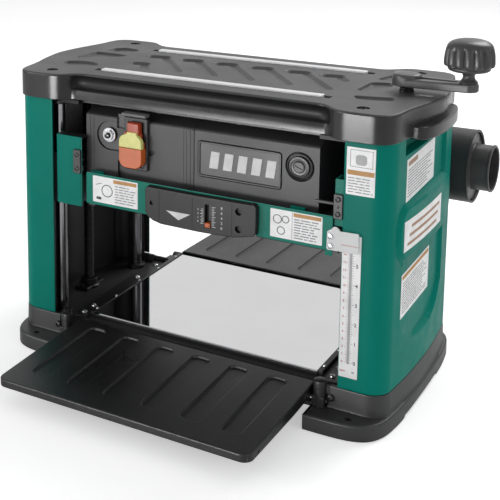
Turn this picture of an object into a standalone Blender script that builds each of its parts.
"""Bench thickness planer, built as an assembly of separate pieces.

Metres, +Z up. Origin: middle of the base's underside. +X is the operator's right and
-Y is the infeed (front) side. The head is at the top of its travel.
Sizes are in millimetres; the shape functions turn them into metres.
A span is a pair (from, to) along one axis.
"""
import itertools
import math

import bmesh
import bpy
from mathutils import Matrix, Vector

MM = 0.001
GAP = 0.3                     # air between touching pieces
CLEARANCE = 0.4               # extra radius of a hole round a shaft or a screw

# ---- base and bed
FLANGE_Z = 22.0               # top of the foot flange
FLOOR_Z = 38.0                # top of the floor between the columns
BED_X, BED_Y0, BED_Y1, BED_Z = 173.0, -98.4, 177.5, 44.7
# ---- columns, in plan and height
COL_Z0, COL_Z1 = 51.0, 372.2  # column cover, bottom and top
COL_X_IN = 215.0              # inner edge of the column's front and back walls
COL_Y = 140.4                 # front and back planes
COL_CORNER_X, COL_CORNER_R = 248.0, 27.0
COL_BULGE = 6.0               # how far the side swells between the corners
# ---- guide posts and lead screws
POST_X, POST_Y, POST_R = 222.0, 109.0, 9.0
SCREW_X, SCREW_R = 245.0, 8.0
SCREW_HOLE_R = SCREW_R + CLEARANCE
SCREW_BOSS_R = 15.0
# ---- top
PLATE_Z0, PLATE_Z1 = 366.0, 371.0
TOP_Z0, TOP_Z1, TOP_WALL, TOP_SKIN = 372.5, 409.0, 4.0, 4.5
RAIL_X, RAIL_Y, RAIL_W = 164.0, 83.7, 9.0
RAIL_Z0, RAIL_Z1 = 406.0, 411.2
# ---- crank
KNOB_X = 322.0
ARM_Z0, ARM_Z1, ARM_HUB_R = 417.0, 428.0, 19.0
# ---- head
HEAD_X, HEAD_Y, HEAD_Z0 = 190.0, 118.0, 204.0
DECK_Z0, DECK_Z1 = 252.0, 260.0
CUT_Z = 197.0                 # cutting plane
CUT_R = 24.0                  # cutting circle
CUT_AXIS_Z = CUT_Z + CUT_R
CUT_SHAFT_R = 8.0
ROLL_R, ROLL_Y, ROLL_SHAFT_R = 16.0, 58.0, 6.0
ROLL_Z = CUT_Z - 0.5 + ROLL_R
PAWL_Y, PAWL_Z, PAWL_SHAFT_R = -98.0, 232.0, 4.0
MOTOR_Y, MOTOR_Z, MOTOR_R, MOTOR_SHAFT_R = 30.0, 308.0, 40.0, 6.0
# ---- head covers and their fittings
COVER_Y, COVER_Z0, COVER_Z1 = -122.0, 262.0, 355.0
BRUSH = (150.7, 324.0)        # X, Z of the brush cap
BREAKER = (-130.5, 327.0)     # X, Z of the breaker button
BREAKER_R = 4.2
BREAKER_HOLE_R = BREAKER_R + CLEARANCE
PADDLE_PIVOT_Z = 347.0
GUARD_Y = -142.0
SHEET = 2.5                   # thickness of the guard and the head brackets
# ---- dust port
PORT_Y, PORT_Z, PORT_R, PORT_END_X = 196.0, 265.0, 52.5, 291.0
ADAPTER_R = 33.0
# ---- tables
TABLE_X, TABLE_LENGTH, TABLE_TILT = 180.0, 202.0, 1.65   # half width, length, degrees
TABLE_RISE = 16.35            # table top above its hinge
IN_HINGE_Y, OUT_HINGE_Y, HINGE_Z = -138.0, 200.5, 28.0
HINGE_ROD_R = 3.0
HINGE_HOLE_R = HINGE_ROD_R + GAP
IN_EDGE, OUT_EDGE = -125.4, 190.5

for old in list(bpy.data.objects):
    bpy.data.objects.remove(old, do_unlink=True)

parts = bpy.data.collections.new("thickness_planer")
cutters = bpy.data.collections.new("cutters")
bpy.context.scene.collection.children.link(parts)
bpy.context.scene.collection.children.link(cutters)

# ------------------------------------------------------------------ materials
# name: (base colour, roughness, metallic)
FINISHES = {
    "green": ((0.0, 0.235, 0.165, 1), 0.42, 0.1),
    "black": ((0.018, 0.018, 0.019, 1), 0.5, 0.0),
    "dark": ((0.06, 0.06, 0.062, 1), 0.55, 0.0),
    "steel": ((0.62, 0.62, 0.64, 1), 0.25, 1.0),
    "polish": ((0.8, 0.8, 0.81, 1), 0.08, 1.0),
    "cast": ((0.16, 0.16, 0.165, 1), 0.6, 0.4),
    "rail": ((0.82, 0.83, 0.84, 1), 0.3, 0.9),
    "white": ((0.9, 0.9, 0.9, 1), 0.5, 0.0),
    "orange": ((0.75, 0.16, 0.03, 1), 0.45, 0.0),
    "yellow": ((0.86, 0.72, 0.2, 1), 0.5, 0.0),
    "clear": ((0.9, 0.92, 0.93, 1), 0.1, 0.0),
    "rubber": ((0.03, 0.03, 0.03, 1), 0.8, 0.0),
}


def paint(piece, finish):
    """Gives the piece a material of its own."""
    colour, roughness, metallic = FINISHES[finish]
    material = bpy.data.materials.new(piece.name + "_material")
    material.use_nodes = True
    shader = material.node_tree.nodes["Principled BSDF"]
    shader.inputs["Base Color"].default_value = colour
    shader.inputs["Roughness"].default_value = roughness
    shader.inputs["Metallic"].default_value = metallic
    material.diffuse_color = colour
    piece.data.materials.append(material)


# ------------------------------------------------------------------ shapes
def add(name, mesh, where):
    piece = bpy.data.objects.new(name, mesh)
    where.objects.link(piece)
    if where is cutters:
        piece.hide_render = True
        piece.display_type = "WIRE"
    return piece


def from_bmesh(name, bm, where):
    mesh = bpy.data.meshes.new(name)
    bm.normal_update()
    bm.to_mesh(mesh)
    bm.free()
    return add(name, mesh, where)


def smooth(piece):
    piece.data.shade_smooth()
    piece.data.set_sharp_from_angle(angle=math.radians(35))


def box(name, x_span, y_span, z_span, where=parts):
    """A box between the ends of three spans, each given in either order."""
    low, high = (Vector(ends) for ends in zip(*map(sorted, (x_span, y_span, z_span))))
    size = Matrix.Diagonal((*((high - low) * MM), 1))
    middle = Matrix.Translation((low + high) * MM / 2)
    bm = bmesh.new()
    bmesh.ops.create_cube(bm, size=1.0, matrix=middle @ size)
    return from_bmesh(name, bm, where)


TURN_FROM_Z = {
    "X": Matrix.Rotation(math.pi / 2, 4, "Y"),
    "Y": Matrix.Rotation(math.pi / 2, 4, "X"),
    "Z": Matrix.Identity(4),
}


def cylinder(name, axis, span, centre, radius, segments=32, where=parts):
    """A cylinder along an axis. centre holds the other two coordinates in X, Y, Z order."""
    start, end = span
    middle = list(centre)
    middle.insert("XYZ".index(axis), (start + end) / 2)
    bm = bmesh.new()
    bmesh.ops.create_cone(
        bm, cap_ends=True, segments=segments, radius1=radius * MM, radius2=radius * MM,
        depth=abs(end - start) * MM,
        matrix=Matrix.Translation(Vector(middle) * MM) @ TURN_FROM_Z[axis])
    piece = from_bmesh(name, bm, where)
    smooth(piece)
    return piece


# Each turns the XY plane of a flat outline into the named plane.
PLANES = {
    "XY": Matrix.Identity(4),
    "YZ": Matrix(((0, 0, 1, 0), (1, 0, 0, 0), (0, 1, 0, 0), (0, 0, 0, 1))),
    "XZ": Matrix(((1, 0, 0, 0), (0, 0, -1, 0), (0, 1, 0, 0), (0, 0, 0, 1))),
}


def no_straights(points):
    """The loop without points on a straight run, which would fill as slivers."""
    kept = []
    for i, (x, y) in enumerate(points):
        last_x, last_y = points[i - 1]
        next_x, next_y = points[(i + 1) % len(points)]
        if abs((x - last_x) * (next_y - y) - (y - last_y) * (next_x - x)) > 1e-3:
            kept.append((x, y))
    return kept


def prism(name, points, span, plane="XY", where=parts):
    """A flat closed outline, thickened over the span along the axis the plane leaves out."""
    start, end = span
    points = no_straights(points)
    curve = bpy.data.curves.new(name + "_outline", "CURVE")
    curve.dimensions = "2D"
    curve.fill_mode = "BOTH"
    curve.extrude = (end - start) * MM / 2
    spline = curve.splines.new("POLY")
    spline.points.add(len(points) - 1)
    for point, (x, y) in zip(spline.points, points):
        point.co = (x * MM, y * MM, 0, 1)
    spline.use_cyclic_u = True
    flat = bpy.data.objects.new(name + "_outline", curve)
    cutters.objects.link(flat)
    # the XZ plane's normal is -Y
    middle = (start + end) / 2 * MM * (-1 if plane == "XZ" else 1)
    flat.matrix_world = PLANES[plane] @ Matrix.Translation((0, 0, middle))
    bpy.context.view_layer.update()
    evaluated = flat.evaluated_get(bpy.context.evaluated_depsgraph_get())
    mesh = bpy.data.meshes.new_from_object(evaluated)
    mesh.name = name
    matrix = flat.matrix_world.copy()
    bpy.data.objects.remove(flat, do_unlink=True)
    bm = bmesh.new()
    bm.from_mesh(mesh)
    bmesh.ops.remove_doubles(bm, verts=bm.verts, dist=1e-6)
    bmesh.ops.recalc_face_normals(bm, faces=bm.faces)
    bm.to_mesh(mesh)
    bm.free()
    mesh.transform(matrix)
    return add(name, mesh, where)


def turned(name, x, y, profile, steps):
    """A piece turned on a vertical axis. The profile is (radius, height)."""
    bm = bmesh.new()
    verts = [bm.verts.new((radius * MM, 0, z * MM)) for radius, z in profile]
    for pair in zip(verts, verts[1:]):
        bm.edges.new(pair)
    piece = from_bmesh(name, bm, parts)
    piece.location = (x * MM, y * MM, 0)
    turn = piece.modifiers.new("turn", "SCREW")
    turn.axis = "Z"
    turn.steps = turn.render_steps = steps
    turn.use_merge_vertices = True
    turn.merge_threshold = 0.00005
    return piece


def bevel(piece, width):
    edge = piece.modifiers.new("edge", "BEVEL")
    edge.width = width * MM
    edge.segments = 1
    edge.limit_method = "ANGLE"


tool_numbers = itertools.count(1)


def tool(shape, *args, **options):
    """A hidden shape to cut with or to join on, made by the given shape function."""
    return shape("cutter_%03d" % next(tool_numbers), *args, where=cutters, **options)


def combine(piece, operation, tools):
    for other in tools:
        boolean = piece.modifiers.new(operation.lower(), "BOOLEAN")
        boolean.operation = operation
        boolean.solver = "EXACT"
        boolean.object = other


def cut(piece, *tools):
    combine(piece, "DIFFERENCE", tools)


def join(piece, *tools):
    combine(piece, "UNION", tools)


def place(piece, point):
    """Puts the object's origin at a point, its shape staying where it is."""
    origin = Vector(point) * MM
    piece.data.transform(Matrix.Translation(piece.location - origin))
    piece.location = origin


# ------------------------------------------------------------------ outlines
def arc(x, y, radius, start, end, steps):
    """Points on an arc about (x, y), the angles in degrees."""
    angles = [math.radians(start + (end - start) * i / steps) for i in range(steps + 1)]
    return [(x + radius * math.cos(a), y + radius * math.sin(a)) for a in angles]


def mirror_x(points):
    return [(-x, y) for x, y in reversed(points)]


def on_side(points, side):
    """A right-hand outline, mirrored to the left when side is -1."""
    return points if side > 0 else mirror_x(points)


def column_line(offset, x_in=COL_X_IN):
    """Right column wall in plan, moved inwards: front, corner, swelling side, corner, back."""
    side_steps = 8
    radius = COL_CORNER_R - offset
    corner_y = COL_Y - COL_CORNER_R
    front = [(x_in, -(COL_Y - offset))] + arc(COL_CORNER_X, -corner_y, radius, -90, 0, 6)
    swell = []
    for i in range(1, side_steps):
        y = -corner_y + 2 * corner_y * i / side_steps
        swell.append((COL_CORNER_X + radius + COL_BULGE * (1 - (y / corner_y) ** 2), y))
    back = arc(COL_CORNER_X, corner_y, radius, 0, 90, 6) + [(x_in, COL_Y - offset)]
    return front + swell + back


def column_wall(name, offset, thickness, z_span, side, x_in=COL_X_IN):
    """A C-shaped upright sheet: outer line, then the inner line back again."""
    outer = column_line(offset, x_in)
    inner = column_line(offset + thickness, x_in)
    return prism(name, on_side(outer + inner[::-1], side), z_span)


def four_way(quarter):
    """A quarter outline in +X +Y, from the Y axis to the X axis, mirrored to a whole loop."""
    right_front = [(x, -y) for x, y in reversed(quarter)][1:]
    left_front = [(-x, -y) for x, y in quarter][1:]
    left_back = mirror_x(quarter)[1:-1]
    return quarter + right_front + left_front + left_back


def inset(loop, distance):
    """The loop moved inwards along its normals. It runs clockwise seen from above."""
    moved = []
    for i, point in enumerate(loop):
        here = Vector(point)
        arriving = (here - Vector(loop[i - 1])).normalized()
        leaving = (Vector(loop[(i + 1) % len(loop)]) - here).normalized()
        tangent = (arriving + leaving).normalized()
        step = distance / max(0.5, tangent.dot(leaving))
        moved.append((here.x + tangent.y * step, here.y - tangent.x * step))
    return moved


# ------------------------------------------------------------------ base
# X, Y round the right foot flange, from front to back
FOOT = [
    (184, -174), (228, -174), (258, -168), (272, -154), (279, -132), (283, -90), (285, 0),
    (283, 90), (279, 132), (272, 154), (258, 168), (228, 174), (184, 174),
]
WELL_X = 206.0                # half width of the well between the columns
BLOCK_X_IN = 204.0
RIM = 4.6                     # from the cover's outer face to the pocket under the column
BASE_CUT_Z = 60.0             # cutters end here, above the whole base
HOLLOW_Z = (-2, 28)

right_half = [(180, -112)] + FOOT + [(180, 180)]
base = prism("base", right_half + mirror_x(right_half), (0, FLANGE_Z))
# raised block that carries the columns
right_half = (
    [(BLOCK_X_IN, -110), (BLOCK_X_IN, -COL_Y - 1)] + column_line(-1.0)[1:-1]
    + [(BLOCK_X_IN, COL_Y + 1), (181.5, COL_Y + 5), (181.5, 170), (178, 178.5)])
join(base, tool(prism, right_half + mirror_x(right_half), (FLANGE_Z - 2, COL_Z0 - GAP)))
# the well is open to the front and the back; a rim stays under each column cover
cut(base, tool(box, (-WELL_X, WELL_X), (-200, 200), (FLOOR_Z, BASE_CUT_Z)))
pocket = [(190, -(COL_Y - RIM))] + column_line(RIM)[1:-1] + [(190, COL_Y - RIM)]
cut(base, *[tool(prism, on_side(pocket, side), (FLOOR_Z + 0.01, BASE_CUT_Z))
            for side in (1, -1)])
# bosses and blind holes for the lead screws
join(base, *[tool(cylinder, "Z", (FLOOR_Z - 2, 52), (side * SCREW_X, 0), SCREW_BOSS_R, segments=16)
             for side in (1, -1)])
cut(base, *[tool(cylinder, "Z", (FLOOR_Z + 0.25, BASE_CUT_Z), (side * SCREW_X, 0),
                 SCREW_HOLE_R, segments=16) for side in (1, -1)])
# vertical holes near the corners
cut(base, *[tool(cylinder, "Z", (-5, BASE_CUT_Z), (side * 236, end * 157), 4.5, segments=12)
            for side in (1, -1) for end in (1, -1)])
# hollow underside: a rib stays in the middle, and the feet stay solid at their ends
cut(base, *[tool(box, (side * x_in, side * x_out), y_span, HOLLOW_Z)
            for x_in, x_out, y_span in ((14, 172, (-104, 172)), (188, 270, (-122, 122)))
            for side in (1, -1)])
paint(base, "dark")

bed = box("bed_plate", (-BED_X, BED_X), (BED_Y0, BED_Y1), (FLOOR_Z + GAP, BED_Z))
bevel(bed, 1.2)
paint(bed, "polish")

# ------------------------------------------------------------------ columns
INNER_Z = (FLOOR_Z + GAP, PLATE_Z0 - GAP)      # floor to top plate
SIDES = ((-1, "left"), (1, "right"))
ENDS = ((-1, "front"), (1, "rear"))

for side, tag in SIDES:
    cover = column_wall(tag + "_column_cover", 0, 2.5, (COL_Z0, COL_Z1), side)
    # hand recess under the lip of the top cover
    cut(cover, tool(box, (side * 262, side * 300), (-96, 96), (352, 380)))
    smooth(cover)
    paint(cover, "green")
    liner = column_wall(tag + "_column_liner", 5.0, 2.0, INNER_Z, side, x_in=222.0)
    smooth(liner)
    paint(liner, "black")

for side, side_tag in SIDES:
    for end, end_tag in ENDS:
        post = cylinder("guide_post_%s_%s" % (end_tag, side_tag), "Z", INNER_Z,
                        (side * POST_X, end * POST_Y), POST_R, segments=20)
        paint(post, "polish")

# ------------------------------------------------------------------ top plate
# X, Y of the back right and front right corners
PLATE_RIGHT = [(240, 128), (262, 110), (262, -110), (240, -128)]
PLATE_CUT_Z = (360, 375)

plate = prism("top_plate", (PLATE_RIGHT + mirror_x(PLATE_RIGHT))[::-1], (PLATE_Z0, PLATE_Z1))
# the plate is narrower between the columns
cut(plate, *[tool(box, (-178, 178), (end * 112, end * 140), PLATE_CUT_Z) for end in (1, -1)])
cut(plate, *[tool(cylinder, "Z", PLATE_CUT_Z, (side * SCREW_X, 0), SCREW_HOLE_R, segments=24)
             for side in (1, -1)])
paint(plate, "steel")

# ------------------------------------------------------------------ top cover and rails
# X, Y of a quarter of the cover, from the middle of the back to the middle of the right side
TOP_QUARTER = [
    (0, 120), (90, 120.5), (165, 121), (181, 124), (191, 132), (203, 142), (216, 145.5),
    (246, 145.5), (262, 142), (271, 133), (276, 114), (278, 96), (282, 78), (288, 56),
    (293.5, 28), (295.5, 0),
]
LIP_X, LIP_DEPTH = 284.5, 21.0
LIP_Y0, LIP_LENGTH = -84.0, 180.0
TOP_CUT_Z = 420.0             # cutters end here, above the cover

top_loop = four_way(TOP_QUARTER)
top = prism("top_cover", top_loop, (TOP_Z0, TOP_Z1))
cut(top, tool(prism, inset(top_loop, TOP_WALL), (TOP_Z0 - 2, TOP_Z1 - TOP_SKIN)))
# carrying lips, bulging out at each side
lip = [(LIP_X, LIP_Y0)]
for degrees in range(20, 180, 20):
    angle = math.radians(degrees)
    lip.append((LIP_X + LIP_DEPTH * math.sin(angle) ** 0.7,
                LIP_Y0 + LIP_LENGTH * (1 - math.cos(angle)) / 2))
lip.append((LIP_X, LIP_Y0 + LIP_LENGTH))
for side in (1, -1):
    join(top, tool(prism, on_side(lip, side), (368.5, 385.5)))
# hole for the crank's screw, slots for the rails, round recesses over the columns
cut(top, tool(cylinder, "Z", (390, TOP_CUT_Z), (SCREW_X, 0), 9.5, segments=24))
slot_half = RAIL_W / 2 + GAP
cut(top, *[tool(box, (-RAIL_X - 9, RAIL_X + 9),
                (end * RAIL_Y - slot_half, end * RAIL_Y + slot_half), (RAIL_Z0, TOP_CUT_Z))
           for end in (1, -1)])
cut(top, *[tool(cylinder, "Z", (405.2, TOP_CUT_Z), (side * 228.3, end * 117.8), 7.5, segments=20)
           for side in (1, -1) for end in (1, -1)])
smooth(top)
paint(top, "dark")

for end, tag in ENDS:
    rail = box(tag + "_top_rail", (-RAIL_X, RAIL_X),
               (end * RAIL_Y - RAIL_W / 2, end * RAIL_Y + RAIL_W / 2), (RAIL_Z0 + GAP, RAIL_Z1))
    bevel(rail, 0.8)
    paint(rail, "rail")


# ------------------------------------------------------------------ chain, screws, sprockets
def chain_loop(radius):
    """Line round both lead screws."""
    return arc(SCREW_X, 0, radius, -90, 90, 12) + arc(-SCREW_X, 0, radius, 90, 270, 12)


# the chain under the top cover keeps the two lead screws in step
chain = prism("sync_chain", chain_loop(21.5), (377, 383))
cut(chain, tool(prism, chain_loop(18.6), (375, 385)))
paint(chain, "steel")

TOOTH_COUNT = 10
# one tooth: (part of a tooth pitch from its middle, radius)
TOOTH = [(-0.30, 15.6), (-0.10, 18.1), (0.10, 18.1), (0.30, 15.6)]

# side, tag, top of the screw, finish of the screw; the right screw reaches the crank
for side, tag, screw_top, finish in ((-1, "left", 392.0, "black"), (1, "right", 416.5, "steel")):
    x = side * SCREW_X
    screw = cylinder("lead_screw_" + tag, "Z", (FLOOR_Z + 0.6, screw_top), (x, 0), SCREW_R,
                     segments=16)
    paint(screw, finish)
    sprocket = cylinder("sprocket_" + tag, "Z", (374, 386), (x, 0), 12, segments=16)
    teeth = []
    for i in range(TOOTH_COUNT):
        for pitch_part, radius in TOOTH:
            angle = 2 * math.pi * (i + pitch_part) / TOOTH_COUNT
            teeth.append((x + radius * math.cos(angle), radius * math.sin(angle)))
    join(sprocket, tool(prism, teeth, (378, 382)))
    cut(sprocket, tool(cylinder, "Z", (370, 390), (x, 0), SCREW_R + GAP, segments=16))
    paint(sprocket, "steel")

# ------------------------------------------------------------------ crank
arm_line = arc(SCREW_X, 0, ARM_HUB_R, 82, 278, 12) + arc(KNOB_X, 0, 13, -82, 82, 8)
arm = prism("crank_arm", arm_line, (ARM_Z0, ARM_Z1))
join(arm, tool(cylinder, "Z", (420, 433), (SCREW_X, 0), ARM_HUB_R),
     tool(cylinder, "Z", (ARM_Z1 - 4, 470), (KNOB_X, 0), 4.0, segments=16))
smooth(arm)
paint(arm, "dark")

# radius, height: down the outside, then up the bore
KNOB_PROFILE = [
    (0, 485), (7, 484.4), (14, 481.5), (20, 476.5), (25, 470), (29.5, 464.5), (31, 459),
    (30, 453), (26, 447.5), (19, 444), (9.5, 442.5), (7.2, 438), (7.2, 434), (9, 430),
    (9.5, 428.3), (4.3, 428.3), (4.3, 471), (0, 471),
]
knob = turned("crank_knob", KNOB_X, 0, KNOB_PROFILE, steps=16)
smooth(knob)
paint(knob, "black")

# ------------------------------------------------------------------ height scale
scale = box("height_scale", (215.8, 239.8), (-141.3, -140.7), (68, 254))
paint(scale, "white")

# ------------------------------------------------------------------ hinges
BRACKET_X0, BRACKET_X1 = 185.0, 201.0
BRACKET_MID_X = (BRACKET_X0 + BRACKET_X1) / 2
BRACKET_Z0 = FLANGE_Z + GAP


def hinge_hole(side, hinge_y):
    return tool(cylinder, "X", (side * 180.0, side * (BRACKET_MID_X + 1)), (hinge_y, HINGE_Z),
                HINGE_HOLE_R, segments=16)


for side, tag in SIDES:
    x_span = (side * BRACKET_X0, side * BRACKET_X1)
    bracket = cylinder("infeed_hinge_bracket_" + tag, "Z", (BRACKET_Z0, 57),
                       (side * BRACKET_MID_X, IN_HINGE_Y - 4), 8.0, segments=20)
    join(bracket, tool(box, x_span, (IN_HINGE_Y - 10, IN_HINGE_Y + 10), (BRACKET_Z0, 36)))
    cut(bracket, hinge_hole(side, IN_HINGE_Y))
    paint(bracket, "black")
    bracket = box("outfeed_hinge_bracket_" + tag, x_span, (148, OUT_HINGE_Y + 8),
                  (BRACKET_Z0, 37))
    cut(bracket, hinge_hole(side, OUT_HINGE_Y))
    paint(bracket, "black")

for tag, y in (("infeed", IN_HINGE_Y), ("outfeed", OUT_HINGE_Y)):
    rod = cylinder(tag + "_hinge_rod", "X", (-BRACKET_MID_X, BRACKET_MID_X), (y, HINGE_Z),
                   HINGE_ROD_R, segments=16)
    paint(rod, "steel")


# ------------------------------------------------------------------ tables
def table(name, hinge_y, edge_y, end):
    """Folding table; end is -1 in front, 1 behind. Made level, then tipped about its rod."""
    far_y = edge_y + end * TABLE_LENGTH
    top_z = HINGE_Z + TABLE_RISE
    low, high = sorted((edge_y, far_y))
    radius = 9
    corner_x = TABLE_X - radius
    if end < 0:
        plan = ([(TABLE_X, high), (-TABLE_X, high)]
                + arc(-corner_x, low + radius, radius, 180, 270, 4)
                + arc(corner_x, low + radius, radius, -90, 0, 4))
    else:
        plan = ([(-TABLE_X, low), (TABLE_X, low)]
                + arc(corner_x, high - radius, radius, 0, 90, 4)
                + arc(-corner_x, high - radius, radius, 90, 180, 4))
    piece = prism(name, plan, (top_z - 15, top_z))
    # hollow underside
    cut(piece, tool(box, (-TABLE_X + 4, TABLE_X - 4), (edge_y - end * 9, far_y - end * 4),
                    (top_z - 30, top_z - 3)))
    # the rim gets shallower towards the far end
    near, far = edge_y + end * 40, far_y + end * 5
    wedge = [(near, top_z - 15.5), (far, top_z - 10.0), (far, top_z - 25), (near, top_z - 25)]
    cut(piece, tool(prism, wedge, (-190, 190), plane="YZ"))
    # hinge lugs
    for side in (-1, 1):
        join(piece, tool(box, (side * 166.0, side * 179.0), (hinge_y - 7, hinge_y + 7),
                         (HINGE_Z - 7, top_z - 1)))
        cut(piece, tool(cylinder, "X", (side * 160.0, side * 181.0), (hinge_y, HINGE_Z),
                        HINGE_HOLE_R, segments=16))
    # stiffening ribs under the plate
    for x in (-60, 60):
        join(piece, tool(box, (x - 1.5, x + 1.5), (edge_y + end * 1.0, far_y - end * 2.0),
                         (top_z - 9, top_z - 1)))
    hinge = (0, hinge_y, HINGE_Z)
    tilt = math.radians(-end * TABLE_TILT)
    place(piece, hinge)
    piece.rotation_euler = (tilt, 0, 0)
    # the tools tip with the table
    to_hinge = Matrix.Translation(Vector(hinge) * MM)
    tip = to_hinge @ Matrix.Rotation(tilt, 4, "X") @ to_hinge.inverted()
    for boolean in piece.modifiers:
        boolean.object.data.transform(tip)
    paint(piece, "black")


table("infeed_table", IN_HINGE_Y, IN_EDGE, -1)
table("outfeed_table", OUT_HINGE_Y, OUT_EDGE, 1)

# ------------------------------------------------------------------ head casting
THROUGH_Z = (200, 300)        # through every boss of the head
THROUGH_X = (-200, 200)       # through both side walls

head = box("head_casting", (-HEAD_X, HEAD_X), (-HEAD_Y, HEAD_Y), (HEAD_Z0, DECK_Z1))
cut(head, tool(box, (-180, 180), (-112, 112), (200, DECK_Z0)))
# plan of the right arm that reaches out to the lead screw
arm_along = Vector((45.0, 55.0)).normalized()
arm_across = Vector((-arm_along.y, arm_along.x)) * 11
arm_root, arm_tip = Vector((188.0, -69.0)), Vector((SCREW_X, 0.0))
screw_arm = [arm_root - arm_across, arm_tip - arm_across,
             arm_tip + arm_across, arm_root + arm_across]
lumps = []
for side in (-1, 1):
    # post guides, each on a short lug
    for end in (-1, 1):
        lumps.append(tool(box, (side * 188.0, side * POST_X), (end * 97.0, end * 117.5),
                          (232, 256)))
        lumps.append(tool(cylinder, "Z", (216, 288), (side * POST_X, end * POST_Y), 16,
                          segments=16))
    lumps.append(tool(prism, on_side(screw_arm, side), (246, 259)))
    lumps.append(tool(cylinder, "Z", (240, 274), (side * SCREW_X, 0), SCREW_BOSS_R, segments=16))
join(head, *lumps)
cut(head, *[tool(cylinder, "Z", THROUGH_Z, (side * POST_X, end * POST_Y), POST_R + GAP,
                 segments=20) for side in (-1, 1) for end in (-1, 1)])
cut(head, *[tool(cylinder, "Z", THROUGH_Z, (side * SCREW_X, 0), SCREW_HOLE_R, segments=16)
            for side in (-1, 1)])
cut(head, tool(cylinder, "X", THROUGH_X, (0, CUT_AXIS_Z), CUT_SHAFT_R + CLEARANCE, segments=20))
cut(head, *[tool(cylinder, "X", THROUGH_X, (end * ROLL_Y, ROLL_Z), ROLL_SHAFT_R + CLEARANCE,
                 segments=16) for end in (-1, 1)])
cut(head, tool(cylinder, "X", (-185, 185), (PAWL_Y, PAWL_Z), PAWL_SHAFT_R + CLEARANCE,
               segments=12))
# opening in the back wall, into the dust hood
cut(head, tool(box, (-150, 150), (105, 125), (210, 248)))
paint(head, "cast")

# ------------------------------------------------------------------ cutterhead and knives
PULLEY_X = (-210, -193)
OUTER_FLANGE_X = (-210.5, -209)
INNER_FLANGE_X = (-195, -192.5)
PULLEY_R, FLANGE_R = 15.5, 18.5
MOTOR_PULLEY_R, MOTOR_FLANGE_R = 10.0, 12.5
CUT_AXIS = (0, CUT_AXIS_Z)    # Y, Z
MOTOR_AXIS = (MOTOR_Y, MOTOR_Z)

cutterhead = cylinder("cutterhead", "X", (-168, 168), CUT_AXIS, 21)
join(cutterhead, tool(cylinder, "X", (-211, 188), CUT_AXIS, CUT_SHAFT_R, segments=24))
cut(cutterhead, *[tool(box, (-172, 172), (-1.8, 1.8),
                       (CUT_AXIS_Z + up * 11, CUT_AXIS_Z + up * 26)) for up in (1, -1)])
paint(cutterhead, "steel")

for i, up in ((1, 1), (2, -1)):
    knife = box("knife_%d" % i, (-165, 165), (-1.4, 1.4),
                (CUT_AXIS_Z + up * 11.4, CUT_AXIS_Z + up * CUT_R))
    paint(knife, "polish")

pulley = cylinder("cutterhead_pulley", "X", PULLEY_X, CUT_AXIS, PULLEY_R)
join(pulley, tool(cylinder, "X", OUTER_FLANGE_X, CUT_AXIS, FLANGE_R),
     tool(cylinder, "X", INNER_FLANGE_X, CUT_AXIS, FLANGE_R))
cut(pulley, tool(cylinder, "X", (-215, -190), CUT_AXIS, CUT_SHAFT_R + GAP, segments=24))
paint(pulley, "steel")

# ------------------------------------------------------------------ rollers, pawls, gearbox
for end, tag in ((-1, "infeed"), (1, "outfeed")):
    axis = (end * ROLL_Y, ROLL_Z)
    roller = cylinder(tag + "_roller", "X", (-165, 165), axis, ROLL_R, segments=28)
    join(roller, tool(cylinder, "X", (-188, 188), axis, ROLL_SHAFT_R, segments=20))
    paint(roller, "rubber")

pawls = cylinder("anti_kickback_pawls", "X", (-184, 184), (PAWL_Y, PAWL_Z), PAWL_SHAFT_R,
                 segments=16)
join(pawls, *[tool(box, (x - 4, x + 4), (PAWL_Y - 4.5, PAWL_Y + 4.5), (200, PAWL_Z + 2))
              for x in range(-150, 151, 60)])
paint(pawls, "steel")

gearbox = box("feed_gearbox", (HEAD_X + GAP, 211), (-78, 78), (206, 242))
bevel(gearbox, 3)
paint(gearbox, "dark")

# ------------------------------------------------------------------ motor and belt
motor = cylinder("motor", "X", (-40, 150), MOTOR_AXIS, MOTOR_R)
# an end boss each side, and a foot down to the deck
join(motor, tool(cylinder, "X", (-52, -38), MOTOR_AXIS, 24, segments=24),
     tool(cylinder, "X", (148, 162), MOTOR_AXIS, 26, segments=24),
     tool(box, (-20, 130), (MOTOR_Y - 30, MOTOR_Y + 30), (DECK_Z1 + GAP, MOTOR_Z - 20)))
cut(motor, tool(cylinder, "X", (-60, -20), MOTOR_AXIS, MOTOR_SHAFT_R + CLEARANCE, segments=20))
paint(motor, "steel")

# the motor pulley carries the shaft
motor_pulley = cylinder("motor_pulley", "X", PULLEY_X, MOTOR_AXIS, MOTOR_PULLEY_R, segments=24)
join(motor_pulley, tool(cylinder, "X", (-212, -22), MOTOR_AXIS, MOTOR_SHAFT_R, segments=20),
     tool(cylinder, "X", INNER_FLANGE_X, MOTOR_AXIS, MOTOR_FLANGE_R, segments=24),
     tool(cylinder, "X", OUTER_FLANGE_X, MOTOR_AXIS, MOTOR_FLANGE_R, segments=24))
paint(motor_pulley, "steel")


def belt_loop(extra):
    """Y, Z line round the two pulleys, extra outside their rims."""
    radius, motor_radius = PULLEY_R + extra, MOTOR_PULLEY_R + extra
    between = Vector(MOTOR_AXIS) - Vector(CUT_AXIS)
    heading = math.degrees(math.atan2(between.y, between.x))
    # angle from the line of centres to where the straight strands touch
    touch = math.degrees(math.acos((radius - motor_radius) / between.length))
    return (arc(*CUT_AXIS, radius, heading + touch, heading + 360 - touch, 14)
            + arc(*MOTOR_AXIS, motor_radius, heading - touch, heading + touch, 10))


belt = prism("drive_belt", belt_loop(2.8), (-208.5, -195.5), plane="YZ")
cut(belt, tool(prism, belt_loop(GAP), (-215, -190), plane="YZ"))
paint(belt, "rubber")

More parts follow.
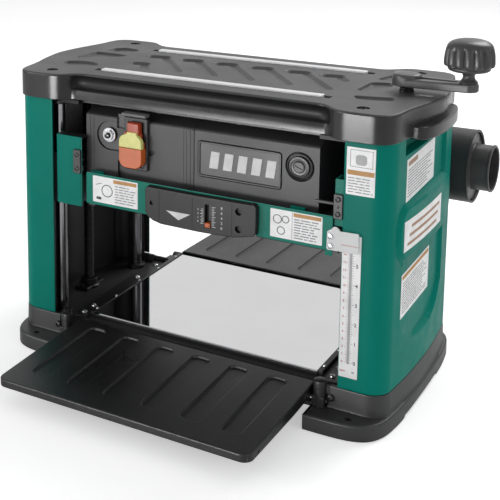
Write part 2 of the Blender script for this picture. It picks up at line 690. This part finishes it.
# ------------------------------------------------------------------ head covers
# Y, Z of the covers' outside and of the space inside, from the bottom front
SHELL = [
    (COVER_Y, COVER_Z0), (COVER_Y, COVER_Z1), (COVER_Y + 22, 362), (96, 362), (110, 348),
    (110, COVER_Z0),
]
HOLLOW = [
    (COVER_Y + 3, COVER_Z0 - 10), (COVER_Y + 3, COVER_Z1 - 1.5), (COVER_Y + 23, 359),
    (94.6, 359), (107, 346.5), (107, COVER_Z0 - 10),
]
COVER_X0, COVER_X1, COVER_WALL = -168.6, 176.7, 3.0
FRONT_HOLE_Y = (-130, -110)

cover = prism("head_cover_left", SHELL, (COVER_X0, 1.7), plane="YZ")
cut(cover, tool(prism, HOLLOW, (COVER_X0 + COVER_WALL, 10), plane="YZ"),
    tool(cylinder, "X", (-180, -150), MOTOR_AXIS, 8, segments=20),
    tool(cylinder, "Y", FRONT_HOLE_Y, BREAKER, BREAKER_HOLE_R, segments=20))
paint(cover, "dark")
cover = prism("head_cover_right", SHELL, (2.3, COVER_X1), plane="YZ")
cut(cover, tool(prism, HOLLOW, (-10, COVER_X1 - COVER_WALL), plane="YZ"),
    tool(cylinder, "Y", FRONT_HOLE_Y, BRUSH, 9.4, segments=24))
paint(cover, "dark")

cap = cylinder("brush_cap", "Y", (COVER_Y - 3.5, COVER_Y - GAP), BRUSH, 15)
join(cap, tool(cylinder, "Y", (COVER_Y - 2, -106), BRUSH, 9, segments=24))
cut(cap, tool(cylinder, "Y", (COVER_Y - 5, COVER_Y - 1.5), BRUSH, 5.5, segments=6))
paint(cap, "black")

nut = cylinder("breaker_nut", "Y", (COVER_Y - 4.5, COVER_Y - GAP), BREAKER, 8.5, segments=6)
cut(nut, tool(cylinder, "Y", (-130, -115), BREAKER, BREAKER_HOLE_R, segments=20))
paint(nut, "polish")
button = cylinder("breaker_button", "Y", (COVER_Y - 8.5, -108), BREAKER, BREAKER_R, segments=20)
paint(button, "black")

# ------------------------------------------------------------------ switch
PADDLE_SHIFT_X = 5.3          # added to X of the three outlines below
# X, Z from the top left, down and round to the top right
PADDLE = [
    (-97, 350), (-97, 337), (-105, 333), (-109.5, 326), (-110, 318), (-110, 303),
    (-108, 295), (-101, 289.5), (-92, 288), (-83, 289.5), (-76, 295), (-74, 303),
    (-74, 318), (-74.5, 326), (-79, 333), (-79, 350),
]
# the thick lower part shares the paddle's bottom edge
PADDLE_LOWER = [(-110, 312.5)] + PADDLE[5:12] + [(-74, 312.5)]
KEY = [
    (-109.5, 313), (-74.5, 313), (-74.5, 326), (-80, 333.5), (-84, 338), (-98, 338),
    (-104, 333.5), (-109.5, 326),
]


def shifted(points):
    return [(x + PADDLE_SHIFT_X, z) for x, z in points]


bezel = box("switch_bezel", (-104, -66), (COVER_Y - 6, COVER_Y - GAP), (283, 358))
join(bezel, tool(box, (-104, -66), (COVER_Y - 13, COVER_Y - GAP), (358, 361.5)))
cut(bezel, tool(box, (-99, -71), (-140, COVER_Y - 3), (287, 353)))
paint(bezel, "black")

paddle = prism("switch_paddle", shifted(PADDLE), (-134.5, -129.0), plane="XZ")
join(paddle, tool(prism, shifted(PADDLE_LOWER), (-141, -134), plane="XZ"))
paint(paddle, "orange")
key = prism("switch_key", shifted(KEY), (-141, -134.8), plane="XZ")
paint(key, "yellow")

# ------------------------------------------------------------------ guard, brackets, clamps
GUARD_X, GUARD_Z1 = (-157, 203), 274
RETURN_Y = (-138.5, -119)     # bracket flanges that run back to the head
LEFT_BRACKET_X0, LEFT_BRACKET_Y = -209.0, -140.0
RIGHT_BRACKET_X0, RIGHT_BRACKET_Y = 204.0, -139.2
BRACKET_TOP_Z = 322.0

guard = box("front_guard", GUARD_X, (GUARD_Y, GUARD_Y + SHEET), (229, GUARD_Z1))
join(guard, tool(box, GUARD_X, (GUARD_Y + 1, -119.5), (GUARD_Z1 - SHEET, GUARD_Z1)))
for x in (-150, 150):
    join(guard, tool(box, (x - 10, x + 10), (-124, -119), (262, 272.5)))
# room for the head covers
cut(guard, tool(box, (-160, 210), (COVER_Y - GAP, -110), (COVER_Z0 - GAP, 280)))
paint(guard, "green")

z_span = (221, BRACKET_TOP_Z)
bracket = box("head_bracket_left", (LEFT_BRACKET_X0, -166),
              (LEFT_BRACKET_Y, LEFT_BRACKET_Y + SHEET), z_span)
join(bracket, tool(box, (LEFT_BRACKET_X0, LEFT_BRACKET_X0 + SHEET), RETURN_Y, z_span),
     tool(box, (LEFT_BRACKET_X0, -166), RETURN_Y, (BRACKET_TOP_Z - SHEET, BRACKET_TOP_Z)))
cut(bracket, tool(box, (-180, -160), (-136, -100), (262, 330)))
paint(bracket, "green")

z_span = (262, BRACKET_TOP_Z)
bracket = box("head_bracket_right", (RIGHT_BRACKET_X0, 213.5),
              (RIGHT_BRACKET_Y, RIGHT_BRACKET_Y + SHEET), z_span)
join(bracket, tool(box, (RIGHT_BRACKET_X0, RIGHT_BRACKET_X0 + SHEET), RETURN_Y, z_span))
paint(bracket, "green")

clamp = box("bracket_clamp_left", (-178, -166.5), (-143.2, LEFT_BRACKET_Y - GAP), (270, 304))
paint(clamp, "black")
clamp = box("bracket_clamp_right", (204.5, 213), (-142.2, RIGHT_BRACKET_Y - GAP), (271, 303))
paint(clamp, "black")

# ------------------------------------------------------------------ gauge
# X, Z of the panel, clockwise seen from the front, from the left end of the top edge
PANEL = [
    (-58, 268), (-54, 271), (98, 272), (104, 268), (104.5, 238), (101, 231), (88, 227),
    (70, 223.5), (20, 222), (-36, 222.5), (-52, 227), (-58, 233),
]
panel = prism("gauge_panel", PANEL, (-150, GUARD_Y - GAP), plane="XZ")
cut(panel, tool(box, (32, 41), (-160, -130), (230, 262)))
paint(panel, "black")
pointer = box("gauge_pointer", (32.5, 40.5), (-152, GUARD_Y - 0.6), (231, 237.5))
paint(pointer, "orange")
pointer = box("height_pointer", (196.5, 237), (GUARD_Y - 3.0, GUARD_Y - GAP), (224, 262))
paint(pointer, "clear")

# ------------------------------------------------------------------ dust hood and port
PORT_AXIS = (PORT_Y, PORT_Z)

hood = box("dust_hood", (-160, 200), (HEAD_Y + GAP, 170), (226, 300))
join(hood, tool(cylinder, "X", (184, PORT_END_X), PORT_AXIS, PORT_R, segments=40))
cut(hood, tool(box, (-156, 196), (100, 166), (230, 296)),
    tool(cylinder, "X", (188, 300), PORT_AXIS, PORT_R - 3, segments=40))
# the passage between the hood and the port
cut(hood, tool(box, (188.5, 195.5), (140, 175), (236, 292)))
paint(hood, "dark")

adapter = cylinder("dust_port_adapter", "X", (PORT_END_X + GAP, 294.5), PORT_AXIS,
                   PORT_R - 1.5, segments=40)
join(adapter, tool(cylinder, "X", (280, 292), PORT_AXIS, PORT_R - 3.4, segments=40),
     tool(cylinder, "X", (293, 316), PORT_AXIS, ADAPTER_R))
cut(adapter, tool(cylinder, "X", (270, 320), PORT_AXIS, ADAPTER_R - 2.5))
paint(adapter, "black")

# ------------------------------------------------------------------ joints and parenting
# body: (joint position, parent body, pieces); a parent comes before its children
BODIES = {
    "frame": ((0, 0, 0), None, """
        base bed_plate left_column_cover right_column_cover left_column_liner
        right_column_liner top_plate top_cover front_top_rail rear_top_rail
        guide_post_front_left guide_post_front_right guide_post_rear_left
        guide_post_rear_right height_scale sync_chain infeed_hinge_bracket_left
        infeed_hinge_bracket_right outfeed_hinge_bracket_left
        outfeed_hinge_bracket_right infeed_hinge_rod outfeed_hinge_rod"""),
    "crank": ((SCREW_X, 0, 0), "frame", "lead_screw_right sprocket_right crank_arm"),
    "left_screw": ((-SCREW_X, 0, 0), "frame", "lead_screw_left sprocket_left"),
    "knob": ((KNOB_X, 0, 440), "crank", "crank_knob"),
    "infeed_fold": ((0, IN_HINGE_Y, HINGE_Z), "frame", "infeed_table"),
    "outfeed_fold": ((0, OUT_HINGE_Y, HINGE_Z), "frame", "outfeed_table"),
    "head": ((0, 0, CUT_Z), "frame", """
        head_casting head_cover_left head_cover_right brush_cap breaker_nut switch_bezel
        front_guard head_bracket_left head_bracket_right bracket_clamp_left
        bracket_clamp_right gauge_panel height_pointer motor drive_belt feed_gearbox
        dust_hood"""),
    "cutter": ((0, 0, CUT_AXIS_Z), "head", "cutterhead knife_1 knife_2 cutterhead_pulley"),
    "motor_shaft": ((-200, MOTOR_Y, MOTOR_Z), "head", "motor_pulley"),
    "roller_in": ((0, -ROLL_Y, ROLL_Z), "head", "infeed_roller"),
    "roller_out": ((0, ROLL_Y, ROLL_Z), "head", "outfeed_roller"),
    "pawl_shaft": ((0, PAWL_Y, PAWL_Z), "head", "anti_kickback_pawls"),
    "breaker": ((BREAKER[0], -128, BREAKER[1]), "head", "breaker_button"),
    "paddle": ((-88, -131.5, PADDLE_PIVOT_Z), "head", "switch_paddle"),
    "key": ((-92, -138, 320), "paddle", "switch_key"),
    "gauge": ((36.5, -146, 234), "head", "gauge_pointer"),
    "adapter": ((PORT_END_X, PORT_Y, PORT_Z), "head", "dust_port_adapter"),
}
joints = {}
for body, (position, parent, members) in BODIES.items():
    joint = bpy.data.objects.new("joint_" + body, None)
    joint.empty_display_size = 0.02
    parts.objects.link(joint)
    joint.location = Vector(position) * MM
    if parent:
        joint.location -= Vector(BODIES[parent][0]) * MM
        joint.parent = joints[parent]
    joints[body] = joint
    for name in members.split():
        piece = bpy.data.objects[name]
        place(piece, position)
        piece.parent = joint
        piece.location = (0, 0, 0)
bpy.context.view_layer.update()
